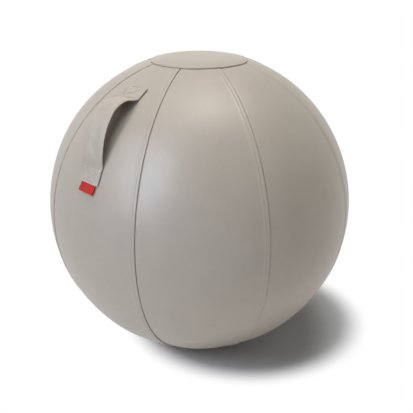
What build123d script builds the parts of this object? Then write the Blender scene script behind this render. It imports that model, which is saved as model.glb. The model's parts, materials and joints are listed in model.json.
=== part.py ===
"""Sitting ball, 65 cm across: an air-filled ball in a sewn cover with a carrying handle.

Frame: millimetres, +Z up, origin on the floor under the centre of the ball.
Azimuth 0 points to -Y and grows towards +X; the handle is close to it.
Polar angles are taken at the centre of the ball, from the top downwards.
"""

from build123d import *
import os
from math import asin, cos, degrees, radians, sin, sqrt

# Ball, and the base that it stands on
BALL_RADIUS = 325.0
FLAT_RADIUS = 70.0
BASE_BLEND = 130.0

# Cover
COVER_THICKNESS = 1.2
BASE_THICKNESS = 1.6
GORE_COUNT = 8
DISC_RADIUS = 100.0
TOP_CROWN = 13.8
FOLD_WIDTH = 8.0
FOLD_HEIGHT = 1.4
DISC_GAP = 0.1

# Inner ball, weight ring and valve
LINING_SPACE = 5.0
BLADDER_WALL = 1.1
RING_RADIUS = 72.0
RING_WIDTH = 22.0
RING_HEIGHT = 16.0
RING_CHAMFER = 5.0
RING_CLEARANCE = 0.3
DRAPE_TOP = 13.0
DRAPE_FOOT = 27.0
DRAPE_FILLET = 8.0
VALVE_AZIMUTH = 212.0
VALVE_POLAR = 112.0
VALVE_BODY = 6.0
VALVE_BORE = 2.8
VALVE_FLANGE = 9.0
VALVE_FLANGE_THICKNESS = 1.0
VALVE_DEPTH = 8.0
PLUG_HEAD = 1.2
PLUG_CHAMFER = 0.4
PLUG_FIT = 0.05
PLUG_LENGTH = 7.0
PLUG_TAPER = 2.0

# Carrying handle: polar angles where it is sewn down, and the corners of its arch,
# each a polar angle with a height over the sewn part
HANDLE_AZIMUTH = 1.35
STRAP_WIDTH = 50.0
STRAP_OUTER = 1.8
STRAP_CORNER = 3.5
LINING_WIDTH = 46.0
LINING_THICKNESS = 1.4
SEWN_TOP = (31.4, 36.4)
SEWN_BASE = (63.5, 68.8)
ARCH_FOOT_TOP = (37.3, 0.0)
ARCH_SHOULDER = (42.8, 31.0)
ARCH_BROW = (51.3, 33.5)
ARCH_FOOT_BASE = (62.9, 0.0)
FOOT_TOP_RADIUS = 7.0
SHOULDER_RADIUS = 24.0
BROW_RADIUS = 60.0
FOOT_BASE_RADIUS = 10.0
PATCH_WIDTH = 60.0
PATCH_THICKNESS = 1.0
PATCH_MARGIN = 0.8
PATCH_TURN = 30.0

# Label: a ribbon folded double, sewn in under the handle's lower end
LABEL_WIDTH = 39.0
LABEL_LENGTH = 18.0
LABEL_RIBBON = 0.5
LABEL_FOLD = 2.0
LABEL_LIFT = 8.0
LABEL_GAP = 1.3
LABEL_STAND_OFF = 1.8

# Zip
ZIP_AZIMUTH = 202.5
ZIP_TOP = 75.0
ZIP_BASE = 150.0
SLOT_HALF_WIDTH = 6.2
SLOT_DEPTH = 10.0
TAPE_WIDTH = 12.0
TAPE_THICKNESS = 0.6
TAPE_OVERRUN = 1.5
CHAIN_DEPTH = 2.1
TOOTH_PITCH = 4.0
ROW_SHIFT = 0.5
TOOTH_REACH = 4.2
TOOTH_OVERLAP = 1.1
TOOTH_ROOT = 2.9
TOOTH_NECK = 1.5
TOOTH_HEAD = 1.8
TOOTH_TIP = 1.2
TOOTH_SHOULDER_PLACE = 2.3
TOOTH_NECK_PLACE = 1.2
TOOTH_HEAD_PLACE = 0.3
TOOTH_THICKNESS = 2.8
TOP_STOP_WIDTH = 3.6
TOP_STOP_LENGTH = 2.4
TOP_STOP_THICKNESS = 2.6
BOTTOM_STOP_LENGTH = 3.2
STOP_INSET = 0.4

# Slider and pull
SLIDER_POLAR = 77.0
SLIDER_LENGTH = 15.0
SLIDER_WIDE = 11.8
SLIDER_NARROW = 10.8
SLIDER_CORNER = 2.0
SLIDER_CLEARANCE = 0.3
SLIDER_PLATE = 1.2
SLIDER_BACK = 0.8
WEDGE_PLACE = 5.1
WEDGE_WIDTH = 2.6
WEDGE_NOSE = 1.9
WEDGE_TAIL = 2.0
BRIDGE_LENGTH = 8.0
BRIDGE_HEIGHT = 3.8
BRIDGE_GAP_LENGTH = 5.0
BRIDGE_GAP_HEIGHT = 2.6
BRIDGE_WIDTH = 2.4
BRIDGE_CORNER = 1.4
PULL_LENGTH = 30.0
PULL_THICKNESS = 1.6
PULL_NECK = 6.6
PULL_WIDTH = 9.2
PULL_NECK_LENGTH = 8.0
PULL_FLARE = 4.0
PULL_CORNER = 4.0
PULL_EYE_WIDTH = 3.6
PULL_EYE_LENGTH = 5.2
PULL_HOLE_LENGTH = 9.0
PULL_HOLE_WIDTH = 3.6
PULL_HOLE_PLACE = 21.5
PIN_HEIGHT = 1.4

# Values that follow from the sizes above
CENTRE_HEIGHT = BASE_BLEND + sqrt((BALL_RADIUS - BASE_BLEND) ** 2 - FLAT_RADIUS**2)
BALL_CENTRE = (0.0, CENTRE_HEIGHT)
BLEND_CENTRE = (FLAT_RADIUS, BASE_BLEND)
GORE_TURN = 360.0 / GORE_COUNT
TOP_SEAM_POLAR = degrees(asin(DISC_RADIUS / BALL_RADIUS))
BLEND_TURN = degrees(asin(FLAT_RADIUS / (BALL_RADIUS - BASE_BLEND)))
BASE_SEAM_TURN = degrees(asin((DISC_RADIUS - FLAT_RADIUS) / BASE_BLEND))
CHAIN_RADIUS = BALL_RADIUS - CHAIN_DEPTH
BLADDER_RADIUS = BALL_RADIUS - LINING_SPACE


# ---------------------------------------------------------------- places on the ball

def outward(azimuth):
    """Level direction away from the axis."""
    return Vector(sin(radians(azimuth)), -cos(radians(azimuth)), 0)


def meridian_plane(azimuth):
    """Upright plane through the axis: local x is the distance from it, local y the height."""
    return Plane(origin=(0, 0, 0), x_dir=outward(azimuth), z_dir=-outward(azimuth + 90))


def on_ball(polar, radius=BALL_RADIUS):
    """Point of a meridian plane, by polar angle and distance from the ball's centre."""
    return (radius * sin(radians(polar)), CENTRE_HEIGHT + radius * cos(radians(polar)))


def ball_arc(radius, polar_start, polar_end):
    """Arc about the ball's centre, in a meridian plane."""
    return CenterArc(BALL_CENTRE, radius, 90 - polar_start, polar_start - polar_end)


def surface_frame(azimuth, polar, radius):
    """Plane that touches the ball: local x runs around it, local y up it, z out of it."""
    normal = outward(azimuth) * sin(radians(polar)) + Vector(0, 0, cos(radians(polar)))
    centre = Vector(0, 0, CENTRE_HEIGHT)
    return Plane(origin=centre + normal * radius, x_dir=outward(azimuth + 90), z_dir=normal)


def join_ends(first, second):
    """Close the strip between two arcs with a straight line at each end."""
    Line(first @ 0, second @ 0)
    Line(first @ 1, second @ 1)


def save(part, name):
    """Label a finished piece and write it under its own name."""
    part.label = name
    export_step(part, f"parts/{name}.step")


os.makedirs("parts", exist_ok=True)

# The zip runs down one seam, so its cross-section turns about this level axis.
ZIP_ACROSS = outward(ZIP_AZIMUTH + 90)
ZIP_AXIS = Axis((0, 0, CENTRE_HEIGHT), ZIP_ACROSS)


def zip_section(polar):
    """Plane across the chain: local x across it, local y away from the ball's centre."""
    down_the_chain = -surface_frame(ZIP_AZIMUTH, polar, CHAIN_RADIUS).y_dir
    return Plane(origin=(0, 0, CENTRE_HEIGHT), x_dir=ZIP_ACROSS, z_dir=down_the_chain)


def chain_frame(polar, radius=CHAIN_RADIUS):
    """Plane along the chain: local x across it, local y up it, z out of the ball."""
    return surface_frame(ZIP_AZIMUTH, polar, radius)


def chain_degrees(length):
    """Polar angle that a length along the chain takes up."""
    return degrees(length / CHAIN_RADIUS)


# ---------------------------------------------------------------- sewn cover

def gore_outline(outside, inside):
    """Strip between two offsets of the ball's surface, from the top disc to the base disc."""
    corners = []
    for offset_out in (outside, inside):
        upper = ball_arc(BALL_RADIUS + offset_out, TOP_SEAM_POLAR, 180 - BLEND_TURN)
        lower = CenterArc(
            BLEND_CENTRE, BASE_BLEND + offset_out, BLEND_TURN - 90, BASE_SEAM_TURN - BLEND_TURN
        )
        corners.append((upper @ 0, lower @ 1))
    Line(corners[0][0], corners[1][0])
    Line(corners[0][1], corners[1][1])


fold_depth = FOLD_HEIGHT + COVER_THICKNESS / 2
zip_right_gore = round((ZIP_AZIMUTH + GORE_TURN / 2) / GORE_TURN)
zip_left_gore = zip_right_gore - 1
for number in range(GORE_COUNT):
    right_edge = (number + 0.5) * GORE_TURN
    with BuildPart() as gore:
        with BuildSketch(meridian_plane(right_edge - GORE_TURN)):
            with BuildLine():
                gore_outline(0, -COVER_THICKNESS)
            make_face()
        revolve(axis=Axis.Z, revolution_arc=GORE_TURN)
        # The seam allowance is folded under this edge and lifts it into a low band.
        with BuildSketch(meridian_plane(right_edge)):
            with BuildLine():
                gore_outline(FOLD_HEIGHT, -COVER_THICKNESS / 2)
            make_face()
        extrude(amount=FOLD_WIDTH)
        if number in (zip_left_gore, zip_right_gore):
            side = -1 if number == zip_left_gore else 1
            with BuildSketch(zip_section(ZIP_TOP)):
                fold_middle = side * (SLOT_HALF_WIDTH + FOLD_WIDTH / 2)
                with Locations((fold_middle, BALL_RADIUS + FOLD_HEIGHT - fold_depth / 2)):
                    Rectangle(FOLD_WIDTH, fold_depth)
            revolve(axis=ZIP_AXIS, revolution_arc=ZIP_BASE - ZIP_TOP)
            with BuildSketch(zip_section(ZIP_TOP)):
                with Locations((0, BALL_RADIUS)):
                    Rectangle(2 * SLOT_HALF_WIDTH, SLOT_DEPTH)
            revolve(axis=ZIP_AXIS, revolution_arc=ZIP_BASE - ZIP_TOP, mode=Mode.SUBTRACT)
    save(gore.part, f"gore_panel_{number + 1}")

# The top disc is crowned a little flatter than the ball, with its own folded rim.
disc_edge = DISC_RADIUS - DISC_GAP
disc_sphere = (disc_edge**2 + TOP_CROWN**2) / (2 * TOP_CROWN)
disc_height = on_ball(TOP_SEAM_POLAR)[1] + TOP_CROWN
disc_turn = degrees(asin(disc_edge / disc_sphere))
rim_turn = degrees(asin((disc_edge - FOLD_WIDTH) / disc_sphere))


def crown_arc(offset_out, turn_start, turn_end):
    """Arc over the crowned disc, at an offset from it, by angles from the axis."""
    centre = (0, disc_height - disc_sphere)
    return CenterArc(centre, disc_sphere + offset_out, 90 - turn_start, turn_start - turn_end)


with BuildPart() as top_panel:
    with BuildSketch(meridian_plane(0)):
        with BuildLine():
            join_ends(crown_arc(0, 0, disc_turn), crown_arc(-COVER_THICKNESS, 0, disc_turn))
        make_face()
        with BuildLine():
            join_ends(
                crown_arc(FOLD_HEIGHT, rim_turn, disc_turn),
                crown_arc(-COVER_THICKNESS / 2, rim_turn, disc_turn),
            )
        make_face()
    revolve(axis=Axis.Z)
save(top_panel.part, "top_panel")

base_edge_turn = BASE_SEAM_TURN - degrees(DISC_GAP / BASE_BLEND)


def base_arc(radius, turn_start, turn_end):
    """Arc of the rounding under the ball, by angles from straight down."""
    return CenterArc(BLEND_CENTRE, radius, turn_start - 90, turn_end - turn_start)


with BuildPart() as base_panel:
    with BuildSketch(meridian_plane(0)):
        with BuildLine():
            outer = base_arc(BASE_BLEND, 0, base_edge_turn)
            inner = base_arc(BASE_BLEND - BASE_THICKNESS, 0, base_edge_turn)
            Line(outer @ 1, inner @ 1)
            Polyline(outer @ 0, (0, 0), (0, BASE_THICKNESS), inner @ 0)
        make_face()
        with BuildLine():
            fold_start = base_edge_turn - degrees(FOLD_WIDTH / BASE_BLEND)
            join_ends(
                base_arc(BASE_BLEND + FOLD_HEIGHT, fold_start, base_edge_turn),
                base_arc(BASE_BLEND - BASE_THICKNESS / 2, fold_start, base_edge_turn),
            )
        make_face()
    revolve(axis=Axis.Z)
save(base_panel.part, "base_panel")

# ---------------------------------------------------------------- weight ring and inner ball

ring_height = BASE_THICKNESS + RING_CLEARANCE + RING_HEIGHT / 2
with BuildPart() as weight_ring:
    with BuildSketch(meridian_plane(0)):
        with Locations((RING_RADIUS, ring_height)):
            ring_section = Rectangle(RING_WIDTH, RING_HEIGHT)
            chamfer(ring_section.vertices(), RING_CHAMFER)
    revolve(axis=Axis.Z)
save(weight_ring.part, "base_weight_ring")

drape_height = ring_height + RING_HEIGHT / 2 + RING_CLEARANCE
with BuildPart() as inner_ball:
    with BuildSketch(meridian_plane(0)) as ball_section:
        with BuildLine():
            shell_top = ball_arc(BLADDER_RADIUS, 0, 180 - BLEND_TURN)
            shell_base = base_arc(BASE_BLEND - LINING_SPACE, BLEND_TURN, 0)
            Polyline(shell_base @ 1, (0, LINING_SPACE), shell_top @ 0)
        make_face()
        # The wall is draped over the weight ring.
        with BuildLine():
            Polyline(
                (RING_RADIUS - DRAPE_FOOT, 0),
                (RING_RADIUS - DRAPE_TOP, drape_height),
                (RING_RADIUS + DRAPE_TOP, drape_height),
                (RING_RADIUS + DRAPE_FOOT, 0),
                close=True,
            )
        make_face(mode=Mode.SUBTRACT)
        drape = ball_section.vertices().filter_by_position(Axis.Y, 1, drape_height + 1)
        fillet(drape.filter_by_position(Axis.X, 1, RING_RADIUS + DRAPE_FOOT), DRAPE_FILLET)
        mirror(about=Plane.YZ)
        offset(amount=-BLADDER_WALL, mode=Mode.SUBTRACT)
        split(bisect_by=Plane.YZ)
    revolve(axis=Axis.Z)
    with BuildSketch(surface_frame(VALVE_AZIMUTH, VALVE_POLAR, BALL_RADIUS)):
        Circle(VALVE_BODY)
    extrude(amount=-2 * LINING_SPACE, mode=Mode.SUBTRACT)
save(inner_ball.part, "inner_ball")

flange_top = BLADDER_RADIUS + VALVE_FLANGE_THICKNESS
with BuildPart() as valve_seat:
    with BuildSketch(surface_frame(VALVE_AZIMUTH, VALVE_POLAR, BLADDER_RADIUS)):
        Circle(VALVE_FLANGE)
    extrude(amount=VALVE_FLANGE_THICKNESS)
    with BuildSketch(surface_frame(VALVE_AZIMUTH, VALVE_POLAR, BLADDER_RADIUS)):
        Circle(VALVE_BODY)
    extrude(amount=-VALVE_DEPTH)
    with BuildSketch(surface_frame(VALVE_AZIMUTH, VALVE_POLAR, flange_top)):
        Circle(VALVE_BORE)
    extrude(amount=-VALVE_DEPTH - VALVE_FLANGE_THICKNESS, mode=Mode.SUBTRACT)
save(valve_seat.part, "valve_seat")

with BuildPart() as valve_plug:
    with BuildSketch(surface_frame(VALVE_AZIMUTH, VALVE_POLAR, flange_top)):
        Circle(VALVE_BODY)
    extrude(amount=PLUG_HEAD)
    chamfer(valve_plug.edges().sort_by(SortBy.DISTANCE)[-1:], PLUG_CHAMFER)
    with BuildSketch(surface_frame(VALVE_AZIMUTH, VALVE_POLAR, flange_top)):
        Circle(VALVE_BORE - PLUG_FIT)
    extrude(amount=-PLUG_LENGTH, taper=PLUG_TAPER)
save(valve_plug.part, "valve_plug")

# ---------------------------------------------------------------- carrying handle

def strap_path(depth):
    """The two sewn stretches of the handle at a depth under its outer face, with the arch."""
    level = BALL_RADIUS + LINING_THICKNESS + STRAP_OUTER - depth
    top_pad = ball_arc(level, SEWN_TOP[0], SEWN_TOP[1])
    base_pad = ball_arc(level, SEWN_BASE[0], SEWN_BASE[1])
    corners = (ARCH_FOOT_TOP, ARCH_SHOULDER, ARCH_BROW, ARCH_FOOT_BASE)
    arch = [on_ball(polar, level + height) for polar, height in corners]
    FilletPolyline(
        on_ball(SEWN_TOP[1], level),
        *arch,
        on_ball(SEWN_BASE[0], level),
        radius=(
            FOOT_TOP_RADIUS + depth,
            SHOULDER_RADIUS - depth,
            BROW_RADIUS - depth,
            FOOT_BASE_RADIUS + depth,
        ),
    )
    return top_pad, base_pad


def strap_outline(outer_depth, inner_depth):
    """Closed outline of one layer of the handle."""
    outer_pads = strap_path(outer_depth)
    inner_pads = strap_path(inner_depth)
    Line(outer_pads[0] @ 0, inner_pads[0] @ 0)
    Line(outer_pads[1] @ 1, inner_pads[1] @ 1)


with BuildPart() as handle_strap:
    with BuildSketch(meridian_plane(HANDLE_AZIMUTH)):
        with BuildLine():
            strap_outline(0, STRAP_OUTER)
        make_face()
    extrude(amount=STRAP_WIDTH / 2, both=True)
    through_edges = handle_strap.edges().filter_by(
        lambda edge: abs(edge.length - STRAP_OUTER) < 0.001
    )
    fillet(through_edges, STRAP_CORNER)
save(handle_strap.part, "handle_strap")

# The lining is drawn through the ball's surface and then cut along it.
with BuildPart() as handle_lining:
    with BuildSketch(meridian_plane(HANDLE_AZIMUTH)):
        with BuildLine():
            strap_outline(STRAP_OUTER, STRAP_OUTER + LINING_THICKNESS + COVER_THICKNESS)
        make_face()
    extrude(amount=LINING_WIDTH / 2, both=True)
    with Locations((0, 0, CENTRE_HEIGHT)):
        Sphere(BALL_RADIUS, mode=Mode.SUBTRACT)
save(handle_lining.part, "handle_lining")

patch_face = BALL_RADIUS - COVER_THICKNESS
for name, sewn in (("upper", SEWN_TOP), ("lower", SEWN_BASE)):
    polar_start, polar_end = sewn[0] - PATCH_MARGIN, sewn[1] + PATCH_MARGIN
    with BuildPart() as patch:
        with BuildSketch(meridian_plane(HANDLE_AZIMUTH - PATCH_TURN / 2)):
            with BuildLine():
                join_ends(
                    ball_arc(patch_face, polar_start, polar_end),
                    ball_arc(patch_face - PATCH_THICKNESS, polar_start, polar_end),
                )
            make_face()
        revolve(axis=Axis.Z, revolution_arc=PATCH_TURN)
        with BuildSketch(meridian_plane(HANDLE_AZIMUTH)):
            Rectangle(4 * BALL_RADIUS, 4 * BALL_RADIUS)
        extrude(amount=PATCH_WIDTH / 2, both=True, mode=Mode.INTERSECT)
    save(patch.part, f"handle_backing_{name}")

# The label hangs from its sewn end and stands a little off the cover.
label_polar = SEWN_BASE[1] + degrees(LABEL_GAP / BALL_RADIUS)
label_top = surface_frame(HANDLE_AZIMUTH, label_polar, BALL_RADIUS + LABEL_STAND_OFF)
label_frame = label_top.rotated((-LABEL_LIFT, 0, 0))
label_side = Plane(label_frame.origin, x_dir=-label_frame.y_dir, z_dir=label_frame.x_dir)
with BuildPart() as label:
    with BuildSketch(label_side):
        straight = LABEL_LENGTH - LABEL_FOLD / 2
        for thickness, mode in (
            (LABEL_FOLD, Mode.ADD),
            (LABEL_FOLD - 2 * LABEL_RIBBON, Mode.SUBTRACT),
        ):
            Rectangle(straight, thickness, align=(Align.MIN, Align.CENTER), mode=mode)
            with Locations((straight, 0)):
                Circle(thickness / 2, mode=mode)
    extrude(amount=LABEL_WIDTH / 2, both=True)
save(label.part, "label")

# ---------------------------------------------------------------- zip tapes and chain

first_tooth = SLIDER_POLAR - chain_degrees(TOOTH_TIP)
stop_reach = (BOTTOM_STOP_LENGTH + TOOTH_ROOT) / 2 + SLIDER_CLEARANCE
last_tooth = ZIP_BASE - STOP_INSET - chain_degrees(stop_reach)
tooth_count = 1 + int((last_tooth - first_tooth) / chain_degrees(TOOTH_PITCH) - ROW_SHIFT)


def tooth_outline(side):
    """One tooth, seen from outside: root at the tape, neck, and a head past the middle."""
    half = [
        (side * TOOTH_REACH, TOOTH_ROOT / 2),
        (side * TOOTH_SHOULDER_PLACE, TOOTH_ROOT / 2),
        (side * TOOTH_NECK_PLACE, TOOTH_NECK / 2),
        (-side * TOOTH_HEAD_PLACE, TOOTH_HEAD / 2),
        (-side * TOOTH_OVERLAP, TOOTH_TIP / 2),
    ]
    Polyline(*half, *[(x, -y) for x, y in reversed(half)], close=True)


for name, side in (("left", -1), ("right", 1)):
    with BuildPart() as tape:
        with BuildSketch(zip_section(ZIP_TOP - TAPE_OVERRUN)):
            with Locations((side * (TOOTH_REACH + TAPE_WIDTH / 2), CHAIN_RADIUS)):
                Rectangle(TAPE_WIDTH, TAPE_THICKNESS)
        revolve(axis=ZIP_AXIS, revolution_arc=ZIP_BASE - ZIP_TOP + 2 * TAPE_OVERRUN)
    save(tape.part, f"zip_tape_{name}")

    # The two rows stand half a pitch apart, so that each head lies between two necks.
    row_shift = ROW_SHIFT if side < 0 else 0
    with BuildPart() as teeth:
        for index in range(tooth_count):
            polar = first_tooth + (index + row_shift) * chain_degrees(TOOTH_PITCH)
            with BuildSketch(chain_frame(polar)):
                with BuildLine():
                    tooth_outline(side)
                make_face()
        extrude(amount=TOOTH_THICKNESS / 2, both=True)
    save(teeth.part, f"zip_teeth_{name}")

with BuildPart() as top_stops:
    stop_middle = TOOTH_REACH - TOP_STOP_WIDTH / 2
    with BuildSketch(chain_frame(ZIP_TOP + STOP_INSET)):
        with Locations((-stop_middle, 0), (stop_middle, 0)):
            Rectangle(TOP_STOP_WIDTH, TOP_STOP_LENGTH)
    extrude(amount=TOP_STOP_THICKNESS / 2, both=True)
save(top_stops.part, "zip_top_stops")

with BuildPart() as bottom_stop:
    with BuildSketch(chain_frame(ZIP_BASE - STOP_INSET)):
        Rectangle(2 * TOOTH_REACH, BOTTOM_STOP_LENGTH)
    extrude(amount=TOOTH_THICKNESS / 2, both=True)
save(bottom_stop.part, "zip_bottom_stop")

# ---------------------------------------------------------------- zip slider and pull

plate_radius = CHAIN_RADIUS + TOOTH_THICKNESS / 2 + SLIDER_CLEARANCE
back_radius = CHAIN_RADIUS - TOOTH_THICKNESS / 2 - SLIDER_CLEARANCE
rim_depth = (TOOTH_THICKNESS - TAPE_THICKNESS) / 2
channel_width = 2 * (TOOTH_REACH + SLIDER_CLEARANCE)


def slider_shield():
    """Outline of the slider's plates, wider where the two rows would enter."""
    shield = Polygon(
        (-SLIDER_WIDE / 2, SLIDER_LENGTH / 2),
        (SLIDER_WIDE / 2, SLIDER_LENGTH / 2),
        (SLIDER_NARROW / 2, -SLIDER_LENGTH / 2),
        (-SLIDER_NARROW / 2, -SLIDER_LENGTH / 2),
        align=None,
    )
    fillet(shield.vertices(), SLIDER_CORNER)


with BuildPart() as slider:
    for radius, thickness, rim in (
        (plate_radius, SLIDER_PLATE, -rim_depth),
        (back_radius, -SLIDER_BACK, rim_depth),
    ):
        with BuildSketch(chain_frame(SLIDER_POLAR, radius)):
            slider_shield()
        extrude(amount=thickness)
        with BuildSketch(chain_frame(SLIDER_POLAR, radius)):
            slider_shield()
            Rectangle(channel_width, 2 * SLIDER_LENGTH, mode=Mode.SUBTRACT)
        extrude(amount=rim)
    # The wedge between the plates stands in the fork above the closed teeth.
    with BuildSketch(chain_frame(SLIDER_POLAR, back_radius)):
        with BuildLine():
            Polyline(
                (0, WEDGE_PLACE - WEDGE_NOSE),
                (WEDGE_WIDTH / 2, WEDGE_PLACE),
                (WEDGE_WIDTH / 3, WEDGE_PLACE + WEDGE_TAIL),
                (-WEDGE_WIDTH / 3, WEDGE_PLACE + WEDGE_TAIL),
                (-WEDGE_WIDTH / 2, WEDGE_PLACE),
                close=True,
            )
        make_face()
    extrude(amount=plate_radius - back_radius)
    # The pull hangs in this bridge.
    bridge_foot = chain_frame(SLIDER_POLAR, plate_radius + SLIDER_PLATE)
    with BuildSketch(Plane(bridge_foot.origin, x_dir=bridge_foot.y_dir, z_dir=bridge_foot.x_dir)):
        arch = Rectangle(BRIDGE_LENGTH, BRIDGE_HEIGHT, align=(Align.CENTER, Align.MIN))
        fillet(arch.vertices().group_by(Axis.Y)[-1], BRIDGE_CORNER)
        Rectangle(
            BRIDGE_GAP_LENGTH,
            BRIDGE_GAP_HEIGHT,
            align=(Align.CENTER, Align.MIN),
            mode=Mode.SUBTRACT,
        )
    extrude(amount=BRIDGE_WIDTH / 2, both=True)
save(slider.part, "zip_slider")

pin_frame = chain_frame(SLIDER_POLAR, plate_radius + SLIDER_PLATE + PIN_HEIGHT)
with BuildPart() as pull:
    with BuildSketch(pin_frame):
        with BuildLine():
            flare_end = PULL_NECK_LENGTH + PULL_FLARE
            half = [
                (PULL_NECK / 2, 0),
                (PULL_NECK / 2, -PULL_NECK_LENGTH),
                (PULL_WIDTH / 2, -flare_end),
                (PULL_WIDTH / 2, -PULL_LENGTH),
            ]
            Polyline(*half, *[(-x, y) for x, y in reversed(half)], close=True)
        tab = make_face()
        fillet(tab.vertices().group_by(Axis.Y)[0], PULL_CORNER)
        with Locations((0, -PULL_EYE_LENGTH / 2)):
            Rectangle(PULL_EYE_WIDTH, PULL_EYE_LENGTH, mode=Mode.SUBTRACT)
        with Locations((0, -PULL_HOLE_PLACE)):
            SlotOverall(PULL_HOLE_LENGTH, PULL_HOLE_WIDTH, rotation=90, mode=Mode.SUBTRACT)
    extrude(amount=PULL_THICKNESS / 2, both=True)
    # The pin across the eye turns in the bridge.
    with Locations(pin_frame.location):
        Cylinder(PULL_THICKNESS / 2, PULL_NECK, rotation=(0, 90, 0))
save(pull.part, "zip_pull")
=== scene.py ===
"""Looks of the sitting ball: sewn cover, handle, label, zip, studio light and camera.

Every length is in metres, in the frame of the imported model. Azimuth 0 points to -Y and grows
towards +X; the handle is close to it. A station is a length down the cover from its top.
"""
import bpy
import json
import math
import numpy as np
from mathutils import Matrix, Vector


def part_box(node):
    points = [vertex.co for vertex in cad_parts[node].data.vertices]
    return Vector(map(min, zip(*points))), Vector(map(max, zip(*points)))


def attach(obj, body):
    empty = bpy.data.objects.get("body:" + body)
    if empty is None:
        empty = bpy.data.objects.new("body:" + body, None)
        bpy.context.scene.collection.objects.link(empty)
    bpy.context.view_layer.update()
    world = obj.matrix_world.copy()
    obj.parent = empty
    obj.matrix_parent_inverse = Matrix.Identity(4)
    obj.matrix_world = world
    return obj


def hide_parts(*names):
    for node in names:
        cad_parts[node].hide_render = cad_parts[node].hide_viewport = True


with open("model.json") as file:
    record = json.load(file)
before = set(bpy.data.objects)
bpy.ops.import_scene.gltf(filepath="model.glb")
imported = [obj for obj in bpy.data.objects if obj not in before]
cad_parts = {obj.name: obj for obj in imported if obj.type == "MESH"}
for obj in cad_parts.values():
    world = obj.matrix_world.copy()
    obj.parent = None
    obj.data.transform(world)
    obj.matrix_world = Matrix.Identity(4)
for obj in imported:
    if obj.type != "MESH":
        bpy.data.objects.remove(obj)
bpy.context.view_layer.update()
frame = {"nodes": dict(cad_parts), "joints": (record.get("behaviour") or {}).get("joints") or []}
scene = bpy.context.scene
joints = {joint["name"]: joint for joint in frame["joints"]}

# Ball and base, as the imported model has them
BALL_CENTRE = np.array(joints["zip_travel"]["pos_m"])
CENTRE_HEIGHT = BALL_CENTRE[2]
BALL_RADIUS = 0.325
FLAT_RADIUS = 0.070
BASE_BLEND = 0.130
DISC_RADIUS = 0.100
GORE_COUNT = 8
COVER_THICKNESS = 0.0012
BASE_THICKNESS = 0.0016
TOP_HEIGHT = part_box("top_panel")[1][2]

# Handle: a strap about 50 mm wide, with its polar angles in degrees and heights over the cover
HANDLE_AZIMUTH = math.radians(1.35)
STRAP_HALF_WIDTH = 0.0254
STRAP_THICKNESS = 0.0017
STRAP_CORNER = 0.0035
SEWN_TOP = (31.4, 36.4)
SEWN_BASE = (63.5, 68.8)
LINING_HALF_WIDTH = 0.0238
END_DROP = 0.17
END_SKEW = 0.27
LINING_THICKNESS = 0.0013
RIGHT_EDGE = (
    (31.4, 0.0032), (36.5, 0.0034), (38.0, 0.0095), (40.0, 0.0225), (42.5, 0.0310),
    (45.5, 0.0355), (49.5, 0.0328), (54.0, 0.0260), (58.0, 0.0168), (61.0, 0.0088),
    (63.4, 0.0032), (68.8, 0.0032),
)
LEFT_EDGE = (
    (31.4, 0.0032), (36.5, 0.0034), (38.0, 0.0082), (40.0, 0.0180), (42.5, 0.0280),
    (45.5, 0.0328), (49.5, 0.0338), (54.0, 0.0298), (58.0, 0.0205), (61.0, 0.0130),
    (63.1, 0.0036), (68.8, 0.0032),
)

EDGE_INSET = 0.0020  # edge stitching, from the strap's edge
BOX_INSET = 0.0024  # sewn box, from the strap's edge
BOX_STITCH = (0.0037, 0.0040, 0.00062)  # pitch, length and radius
PATCH_HALF_WIDTH = 0.030
PATCH_MARGIN = 0.8  # degrees past each end of the sewn box

# Label: a ribbon folded double
LABEL_HALF_WIDTH = 0.0195
LABEL_LENGTH = 0.0180
LABEL_RIBBON = 0.00045  # thickness
LABEL_LOOP = 0.0012  # radius of the fold at its lower end
LABEL_GAPE = 0.0006
LABEL_LIFT = math.radians(5)
LABEL_SLANT = math.radians(4.3)

# Sewing
DEEPEST_PULL = 0.0046
FOLD_STITCH = 0.0062
STITCH_PITCH = 0.0036
STITCH_LENGTH = 0.0029
THREAD_RADIUS = 0.00034

# Zip
ZIP_AZIMUTH = math.radians(202.5)
ZIP_TOP_POLAR = math.radians(75.0)
ZIP_BASE_POLAR = math.radians(150.0)
ZIP_HALF_SLOT = 0.0062
CHAIN_RADIUS = 0.3229
TAPE_EDGE = 0.0042

TAPE_RIPPLE = 0.00008
RIPPLES = 140

# Seeds of the unevenness
SWELL_SEED = 100
RIGHT_SEED = 11
LEFT_SEED = 51
RIM_SEED = 7
CROWN_SEED = 8

# Camera, placed about the ball's centre
CAMERA_AZIMUTH = 44.16
CAMERA_ELEVATION = 20.56
CAMERA_DISTANCE = 1.597
CAMERA_TILT = 21.09
CAMERA_TURN = -0.574
CAMERA_LENS = 62.66

# Floor and light. The floor's paper colour is what the camera sees, in and near the shadow; from
# WHITE_FROM_TO about a point SHADE_OFFSET towards the shadow, painted white covers the shadow's
# outer edge
FLOOR_ALBEDO = 0.9
PAPER_COLOUR = (1.13, 1.22, 1.36)
SHADE_DIRECTION = (107, 0)
SHADE_OFFSET = 0.115
FLOOR_SIZE = 16.0
WHITE_FROM_TO = (0.217, 0.295)
AMBIENT_COLOUR = (1.0, 0.95, 0.9)
AMBIENT_STRENGTH = 0.03

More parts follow.
